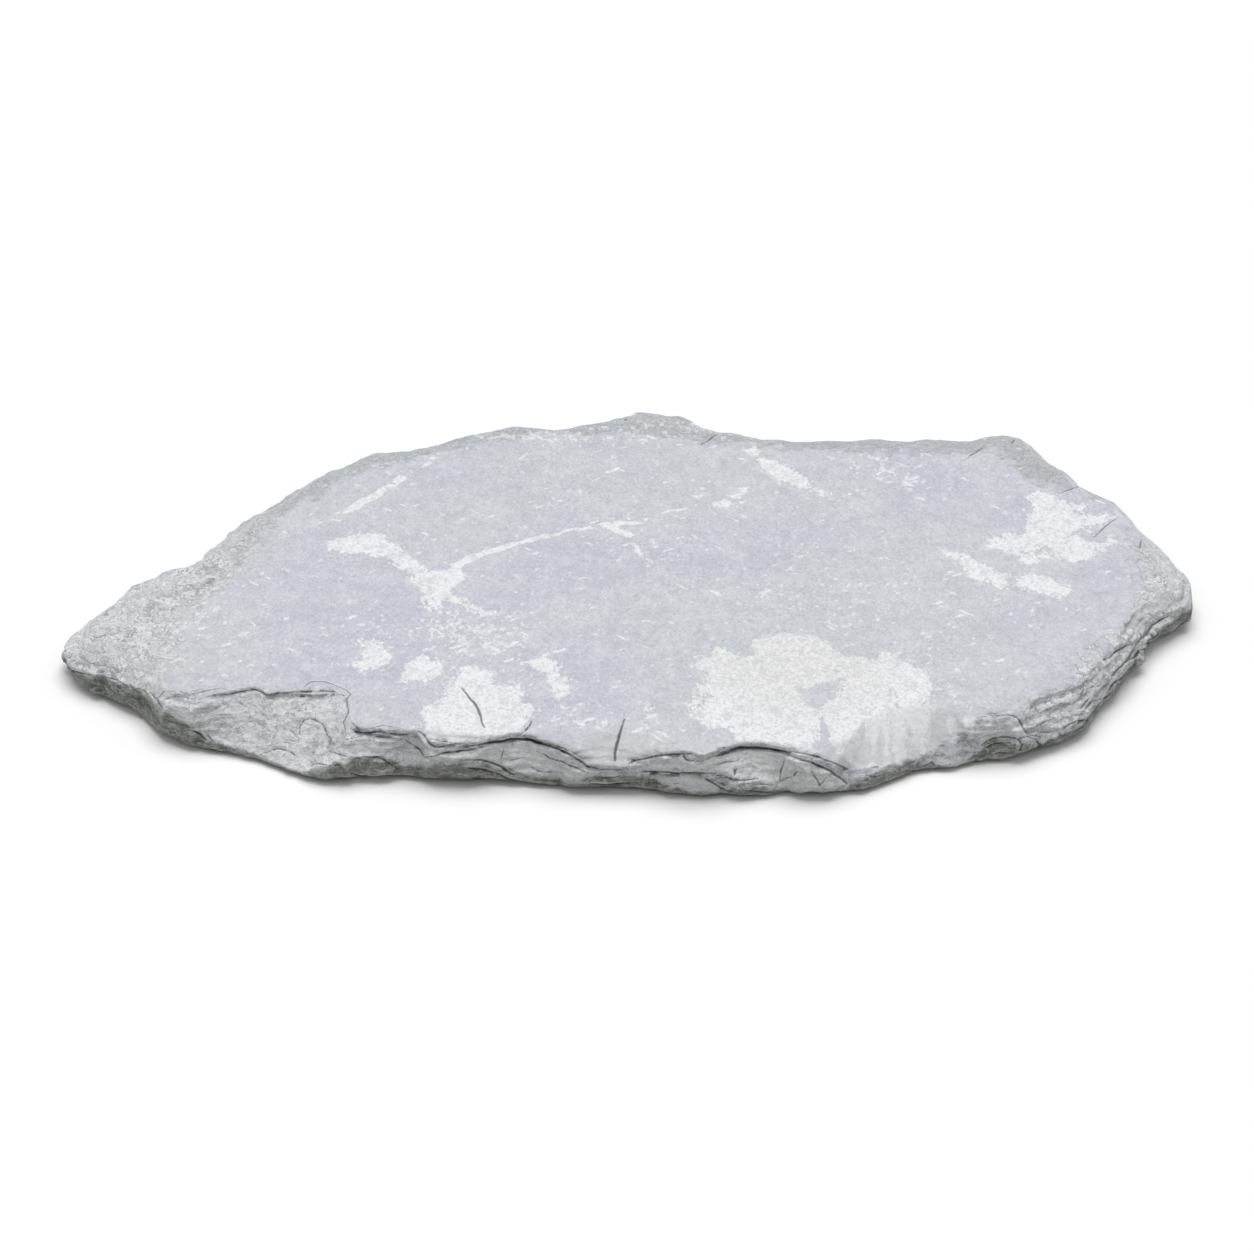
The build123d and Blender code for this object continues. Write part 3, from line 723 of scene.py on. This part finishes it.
class Graph:
    """A material's nodes, added one after another."""

    def __init__(self, name):
        self.material = bpy.data.materials.new(name)
        self.material.use_nodes = True
        self.tree = self.material.node_tree
        self.tree.nodes.clear()

    def add(self, kind, inputs=None, output=0, **settings):
        node = self.tree.nodes.new(kind)
        for key, value in settings.items():
            setattr(node, key, value)
        for key, value in (inputs or {}).items():
            socket = node.inputs[key]
            if isinstance(value, bpy.types.NodeSocket):
                self.tree.links.new(value, socket)
            else:
                socket.default_value = value
        return node.outputs[output] if len(node.outputs) else None

    def maths(self, operation, a, b=0.0, clamp=False):
        return self.add("ShaderNodeMath", {0: a, 1: b}, operation=operation, use_clamp=clamp)

    def plus(self, a, b):
        return self.maths("ADD", a, b)

    def times(self, a, b):
        return self.maths("MULTIPLY", a, b)

    def rest(self, a):
        """What is left of 1."""
        return self.maths("SUBTRACT", 1.0, a)

    def most(self, a, b):
        return self.maths("MAXIMUM", a, b)

    def mix(self, share, a, b, blend="MIX"):
        return self.add("ShaderNodeMix", {0: share, 6: a, 7: b}, 2, data_type="RGBA", blend_type=blend)

    def tint(self, colour, value, low, high, strength, rgb):
        """The colour with another over it, by that strength where the value is past the second limit."""
        return self.mix(self.times(self.step(value, low, high), strength), colour, linear(*rgb))

    def step(self, value, low, high, to_low=0.0, to_high=1.0):
        """The value carried smoothly from one pair of limits to another."""
        return self.add(
            "ShaderNodeMapRange",
            {"Value": value, "From Min": low, "From Max": high, "To Min": to_low, "To Max": to_high},
            interpolation_type="SMOOTHSTEP")

    def noise(self, place, size, detail=3.0, roughness=0.5, stretch=None):
        """Noise from 0 to 1 whose lumps are about that many mm across."""
        if stretch:
            place = self.add("ShaderNodeMapping", {"Vector": place, "Rotation": stretch[0], "Scale": stretch[1]})
        return self.add(
            "ShaderNodeTexNoise", {"Vector": place, "Scale": 1 / size, "Detail": detail, "Roughness": roughness})

    def flakes(self, place, size):
        """Shallow hollows of about that many mm across, 0 in the middle and higher at the ridges between them."""
        place = self.bent(place, size / 1.4, size)
        squeezed = self.add("ShaderNodeMapping", {"Vector": place, "Scale": (0.8, 1.0, 1.6)})
        distance = self.add("ShaderNodeTexVoronoi", {"Vector": squeezed, "Scale": 1 / size})
        return self.times(distance, distance)

    def bent(self, place, size, amount):
        """Places moved to and fro by that many mm."""
        bend = self.add("ShaderNodeTexNoise", {"Vector": place, "Scale": 1 / size, "Detail": 3.0}, 1)
        bend = self.add("ShaderNodeVectorMath", {0: bend, 1: (amount,) * 3}, operation="MULTIPLY")
        return self.add("ShaderNodeVectorMath", {0: place, 1: bend}, operation="ADD")

    def terraces(self, place, size, levels, stretch):
        """The share of the way up each step of a stepped surface: 0 at the foot of a step, 1 at its edge."""
        height = self.noise(place, size, 5.0, 0.56, stretch)
        return self.maths("FRACT", self.times(height, levels))

    def strokes(self, place, length, width, turn, rarity):
        """Scattered short strokes, 1 on a stroke; rarer as rarity nears 1."""
        turned = self.add("ShaderNodeMapping", {
            "Vector": place, "Rotation": (0, 0, turn), "Scale": (length, width, 1.0)}, vector_type="TEXTURE")
        cells = self.add("ShaderNodeTexVoronoi", {"Vector": turned, "Scale": 1.0}, voronoi_dimensions="2D")
        chance = self.add("ShaderNodeTexVoronoi", {"Vector": turned, "Scale": 1.0}, 1, voronoi_dimensions="2D")
        chance = self.add("ShaderNodeSeparateXYZ", {0: chance})
        radius = self.maths("MINIMUM", self.times(self.maths("SUBTRACT", chance, rarity), 3.0), 0.28)
        return self.step(self.maths("SUBTRACT", cells, radius), 0.03, -0.03)

    def field(self, name):
        return self.add("ShaderNodeAttribute", output=2, attribute_name=name)


def slate():
    g = Graph("slate")
    where = g.add("ShaderNodeTexCoord", output=3)
    place = g.add("ShaderNodeVectorMath", {0: where, 1: (1000, 1000, 1000)}, operation="MULTIPLY")
    normal = g.add("ShaderNodeNewGeometry", output=1)
    up = g.add("ShaderNodeSeparateXYZ", {0: normal}, 2)
    pale_field, wedge_field, crack_field, fleck_field, seam_shadow_field, lip_highlight_field, fresh_field = map(
        g.field, ("pale", "wedge", "crack", "flecks", "seam_shadow", "lip_highlight", "fresh"))
    rough, hollow, low, riven = map(g.field, ("rough", "hollow", "low", "riven"))
    wall = g.times(g.step(up, 0.8, 0.4), g.rest(g.times(riven, 0.85)))

    # Ground colour of the riven face
    clouds = g.noise(place, 110, 3, 0.5)
    tone = g.mix(g.step(clouds, 0.4, 0.6), linear(197, 200, 211), linear(201, 205, 210))
    smears = g.noise(place, 24, 5, 0.6, ((0, 0, 0.5), (0.6, 1.0, 1.0)))
    tone = g.tint(tone, smears, 0.42, 0.62, 0.6, (209, 212, 217))
    mottle = g.noise(place, 6, 6, 0.68, ((0, 0, 0), (1.0, 0.6, 1.0)))
    tone = g.tint(tone, mottle, 0.5, 0.34, 0.55, (188, 191, 200))
    tone = g.tint(tone, mottle, 0.5, 0.66, 0.55, (218, 220, 225))
    grain = g.noise(place, 1.5, 3, 0.75, ((0, 0, 0), (1.0, 0.6, 1.0)))
    tone = g.tint(tone, grain, 0.5, 0.25, 0.5, (165, 169, 178))
    tone = g.tint(tone, grain, 0.5, 0.75, 0.5, (232, 234, 238))
    specks = g.strokes(place, 5.0, 3.0, 0.3, 0.95)
    tone = g.mix(g.times(specks, 0.4), tone, linear(168, 172, 180))

    # Rough zones near the edge: crumpled ridges with painted highlights on their crests and painted shade at the foot
    # of each step
    crust = g.noise(place, 9, 6, 0.68)
    rough_tone = g.mix(g.step(crust, 0.36, 0.64), linear(200, 204, 207), linear(222, 225, 227))
    rough_grain = g.noise(place, 2.0, 5, 0.7)
    rough_tone = g.tint(rough_tone, rough_grain, 0.48, 0.34, 0.6, (158, 163, 165))
    rough_tone = g.tint(rough_tone, rough_grain, 0.54, 0.66, 0.7, (240, 242, 243))
    wide_steps = g.terraces(place, 34, 9.0, ((0, 0, 0.4), (1.0, 0.7, 1.6)))
    small_steps = g.terraces(place, 15, 7.0, ((0, 0, -0.5), (1.0, 0.6, 1.6)))
    patchy = g.step(g.noise(place, 13, 3, 0.6), 0.44, 0.54)
    crest_highlights = g.most(g.times(g.step(wide_steps, 0.7, 0.9), g.plus(0.3, g.times(patchy, 0.7))),
                    g.times(g.step(small_steps, 0.66, 0.88), g.rest(g.times(patchy, 0.6))))
    step_foot_shade = g.most(g.step(wide_steps, 0.17, 0.03), g.times(g.step(small_steps, 0.18, 0.03), 0.7))
    rough_tone = g.mix(g.times(crest_highlights, 0.9), rough_tone, linear(246, 248, 249))
    rough_tone = g.mix(g.times(step_foot_shade, 0.6), rough_tone, linear(140, 146, 149))
    window = g.step(rough, 0.02, 0.3)
    rough_share = g.step(g.plus(rough, g.times(g.times(g.plus(crust, -0.5), window), 3.2)), 0.2, 0.9)
    far_side = g.step(g.add("ShaderNodeSeparateXYZ", {0: place}, 1), -10.0, 90.0)
    rough_tone = g.mix(g.times(far_side, 0.6), rough_tone, linear(176, 180, 185))
    tone = g.mix(g.times(rough_share, 0.9), tone, rough_tone)

    # Pale patches, veins and flecks
    ragged = g.plus(g.times(g.plus(g.noise(place, 8, 5, 0.7, ((0, 0, 0.4), (1.0, 0.6, 1.0))), -0.5), 20.0),
                    g.times(g.plus(g.noise(place, 2.4, 4, 0.7, ((0, 0, 0.4), (1.0, 0.55, 1.0))), -0.5), 14.0))
    pale_mask = g.step(g.plus(pale_field, ragged), 0.4, -0.4)
    halo = g.step(g.plus(pale_field, g.times(ragged, 2.4)), 0.5, -2.5)
    lace = g.step(g.noise(place, 2.2, 4, 0.7, ((0, 0, 0.2), (1.0, 0.55, 1.0))), 0.5, 0.55)
    scattered = g.noise(place, 4.0, 5, 0.7, ((0, 0, 0.5), (1.0, 0.55, 1.0)))
    scatter_mask = g.step(g.plus(scattered, g.times(fleck_field, 0.18)), 0.64, 0.67)
    curled = g.bent(place, 4.0, 4.0)
    rarity = g.maths("SUBTRACT", 0.93, g.times(fleck_field, 0.2))
    dashes = g.most(g.strokes(curled, 18.0, 5.0, -0.8, rarity), g.strokes(curled, 14.0, 5.5, 0.6, rarity))
    strand = g.step(g.plus(g.field("vein"), g.times(ragged, 0.17)), 0.4, -0.4)
    dots = g.strokes(curled, 4.5, 6.5, -0.4, g.maths("SUBTRACT", 0.9, g.times(fleck_field, 0.25)))
    wedge_mask = g.step(g.plus(wedge_field, g.times(ragged, 0.35)), 0.5, -0.5)
    pale_mask = g.most(pale_mask, g.times(g.times(halo, lace), 0.8))
    pale_mask = g.most(g.most(pale_mask, strand), g.times(scatter_mask, 0.8))
    pale_mask = g.most(pale_mask, g.times(g.most(dashes, g.times(dots, 0.8)), 0.9))
    pale_mask = g.times(pale_mask, g.rest(wedge_mask))
    off_patch = g.add("ShaderNodeVectorMath", {0: place, 1: (85, -105, 27)}, 1, operation="DISTANCE")
    off_patch = g.plus(off_patch, g.times(clouds, 60))
    cream = g.mix(g.step(off_patch, 110, 70), linear(236, 238, 241), linear(228, 228, 227))
    pits = g.noise(place, 1.7, 4, 0.7, ((0, 0, 0), (1.0, 0.7, 1.0)))
    cream = g.tint(cream, pits, 0.51, 0.38, 0.6, (200, 202, 206))
    cream = g.tint(cream, pits, 0.51, 0.62, 0.7, (246, 247, 248))
    cream = g.tint(cream, mottle, 0.5, 0.34, 0.6, (203, 205, 208))
    tone = g.mix(g.times(pale_mask, g.rest(g.times(wall, 0.15))), tone, cream)

    # Broken faces: layered, palest where fresh, and darkest low on the edge
    layers = g.noise(place, 5.0, 6, 0.7, ((0, 0, 0), (0.35, 0.35, 2.2)))
    edge_spot = g.noise(place, 3.0, 6, 0.75)
    worn = g.mix(g.step(edge_spot, 0.38, 0.62), linear(190, 195, 196), linear(236, 239, 240))
    worn = g.tint(worn, layers, 0.48, 0.36, 0.6, (124, 130, 129))
    new = g.mix(g.step(edge_spot, 0.38, 0.62), linear(234, 238, 240), linear(252, 253, 253))
    new = g.tint(new, layers, 0.44, 0.36, 0.35, (170, 177, 178))
    edge_tone = g.mix(fresh_field, worn, new)
    olive = g.mix(g.step(layers, 0.36, 0.64), linear(100, 103, 94), linear(158, 161, 153))
    olive = g.tint(olive, edge_spot, 0.54, 0.7, 0.7, (208, 210, 205))
    olive = g.tint(olive, edge_spot, 0.46, 0.32, 0.7, (62, 66, 60))
    edge_tone = g.mix(low, edge_tone, olive)
    facets = g.flakes(place, 7.0)
    small_facets = g.flakes(place, 3.2)
    beds = g.terraces(place, 17, 8.0, ((0, 0, 0), (0.4, 0.4, 1.7)))
    bed_edges = g.most(g.step(beds, 0.72, 0.92), g.times(g.step(small_steps, 0.7, 0.9), 0.8))
    bed_foot_shade = g.most(g.step(beds, 0.18, 0.03), g.times(g.step(wide_steps, 0.16, 0.03), 0.8))
    aged = g.rest(g.times(fresh_field, 0.6))
    # Painted shade at the foot of each bed, weaker on fresh faces, and painted highlights along the bed edges
    edge_tone = g.mix(g.times(g.times(bed_foot_shade, 0.5), aged), edge_tone, linear(92, 98, 96))
    bed_edge_highlight = g.times(bed_edges, g.maths("SUBTRACT", 0.65, g.times(low, 0.3)))
    edge_tone = g.mix(bed_edge_highlight, edge_tone, linear(244, 246, 245))
    unpatched = g.rest(g.times(pale_mask, 0.85))
    edge_share = g.times(g.most(g.times(wall, 0.9), fresh_field), unpatched)
    # Painted light: where the riven face tilts away from level it is lightened, to make up for the shade the lamp
    # behind leaves on it
    tone = g.mix(g.times(g.times(g.step(up, 0.98, 0.8), riven), 0.4), tone, linear(250, 251, 252))
    edge_share = g.most(edge_share, g.times(low, 0.85))
    tone = g.mix(edge_share, tone, edge_tone)
    broken = g.most(edge_share, g.times(rough_share, 0.8))

    # Painted shade in the crevices and painted highlights on the crests; dark cracks; a painted highlight beside each
    # seam and painted shadow in it
    tone = g.mix(g.times(g.times(g.step(hollow, 0.3, 1.1), 0.5), aged), tone, linear(70, 75, 73))
    tone = g.tint(tone, hollow, -0.25, -0.9, 0.45, (224, 227, 224))
    tone = g.tint(tone, crack_field, 0.3, -0.4, 0.8, (84, 88, 92))
    tone = g.tint(tone, lip_highlight_field, 0.4, -0.4, 0.65, (240, 242, 240))
    tone = g.tint(tone, seam_shadow_field, 0.45, -0.35, 0.75, (66, 72, 70))

    # Heights in mm
    bumps = g.plus(g.times(grain, 0.3), g.times(mottle, 0.4))
    bumps = g.plus(bumps, g.times(pale_mask, 0.06))
    flaky = g.plus(g.times(facets, 0.9), g.times(small_facets, 0.45))
    flaky = g.plus(flaky, g.plus(g.times(rough_grain, 1.2), g.times(crust, 1.2)))
    flaky = g.plus(flaky, g.plus(g.times(wide_steps, 1.1), g.times(small_steps, 0.6)))
    bumps = g.plus(bumps, g.times(g.plus(flaky, -2.3), broken))
    bumps = g.plus(bumps, g.times(g.plus(g.plus(g.times(layers, 1.4), g.times(beds, 0.5)), -0.95), wall))
    bent = g.add("ShaderNodeBump", {"Strength": 1.0, "Distance": MM, "Height": bumps})
    shader = g.add("ShaderNodeBsdfPrincipled", {
        "Base Color": tone,
        "Roughness": g.step(mottle, 0.3, 0.7, 0.72, 0.86),
        "Specular IOR Level": 0.3,
        "Normal": bent,
    })
    g.add("ShaderNodeOutputMaterial", {"Surface": shader})
    return g.material


def floor_paint():
    g = Graph("pale_floor")
    seen = g.add("ShaderNodeLightPath")
    colour = g.mix(seen, (0.6, 0.6, 0.6, 1), (1.0, 1.0, 1.0, 1))
    shader = g.add("ShaderNodeBsdfDiffuse", {"Color": colour})
    g.add("ShaderNodeOutputMaterial", {"Surface": shader})
    return g.material


def stage():
    """Floor, light and camera."""
    mesh = bpy.data.meshes.new("floor")
    half = FLOOR_HALF
    mesh.from_pydata([(-half, -half, 0), (half, -half, 0), (half, half, 0), (-half, half, 0)], [], [(0, 1, 2, 3)])
    floor = bpy.data.objects.new("floor", mesh)
    bpy.context.scene.collection.objects.link(floor)
    mesh.materials.append(floor_paint())

    world = bpy.data.worlds.new("studio")
    bpy.context.scene.world = world
    world.use_nodes = True
    sky = world.node_tree.nodes["Background"]
    sky.inputs[0].default_value = (1.0, 1.0, 1.0, 1.0)
    sky.inputs[1].default_value = SKY
    lamp = bpy.data.lights.new("broad_light", "SUN")
    lamp.angle = math.radians(LAMP_WIDTH)
    lamp.energy = (1.02 - SKY) * math.pi / math.sin(math.radians(LAMP_HEIGHT))
    lit = bpy.data.objects.new("broad_light", lamp)
    lit.rotation_euler = (math.radians(LAMP_HEIGHT - 90), 0, 0)
    bpy.context.scene.collection.objects.link(lit)

    view = bpy.data.cameras.new("camera")
    view.lens = LENS
    view.sensor_width = SENSOR
    camera = bpy.data.objects.new("camera", view)
    bpy.context.scene.collection.objects.link(camera)
    bpy.context.scene.camera = camera
    elevation = math.radians(ELEVATION)
    back = Vector((0, -math.cos(elevation), math.sin(elevation)))
    camera.location = Vector(TARGET) + back * DISTANCE
    camera.rotation_euler = (-back).to_track_quat("-Z", "Y").to_euler()
    bpy.context.scene.view_settings.view_transform = "Standard"


stone = build_stone()
stone.data.materials.append(slate())
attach(stone, "root")
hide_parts("flagstone")
stage()
